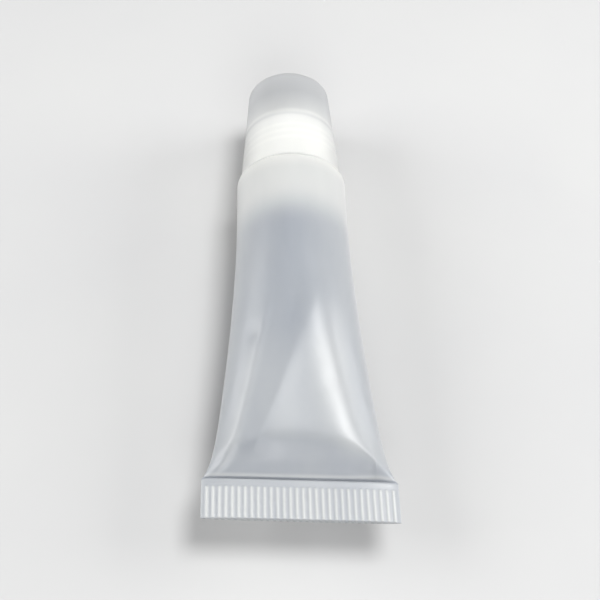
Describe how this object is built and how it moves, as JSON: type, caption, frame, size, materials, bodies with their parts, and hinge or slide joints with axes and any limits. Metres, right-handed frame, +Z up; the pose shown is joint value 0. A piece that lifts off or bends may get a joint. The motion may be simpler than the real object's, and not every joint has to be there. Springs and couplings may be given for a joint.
{
  "type": "lip gloss tube",
  "caption": "Soft squeeze tube with a crimped flat tail, a threaded neck with an orifice plug, and a tapered translucent screw cap.",
  "frame": {"origin": "centre of the bounding box's base, on the surface that the tube lies on", "axes": "+Y along the tube from the crimped tail to the cap, +Z up, +X across the flat tail"},
  "size_m": [0.0248, 0.07, 0.0158],
  "materials": {
    "sleeve": "frosted translucent soft polyethylene",
    "head": "milky semi-rigid polyethylene, satin",
    "plug": "natural polyethylene, smooth",
    "pin": "natural polypropylene, smooth",
    "cap": "frosted translucent polypropylene"
  },
  "bodies": {
    "tube": {"tube_sleeve": "sleeve", "tube_head": "head", "orifice_plug": "plug"},
    "pin": {"sealing_pin": "pin"},
    "cap": {"screw_cap": "cap"}
  },
  "joints": [
    {"name": "cap_lift", "type": "slide", "parent": "tube", "child": "pin", "axis": [0, 1, 0], "range_m": [0, 0.01202]},
    {"name": "cap_turn", "type": "hinge", "parent": "pin", "child": "cap", "pos_m": [0, 0.026, 0.00785], "axis": [0, 1, 0], "range_deg": [0, 3330]}
  ],
  "couplings": [
    {"joint": "cap_turn", "follows": "cap_lift", "rad_per_m": 4833.2}
  ]
}
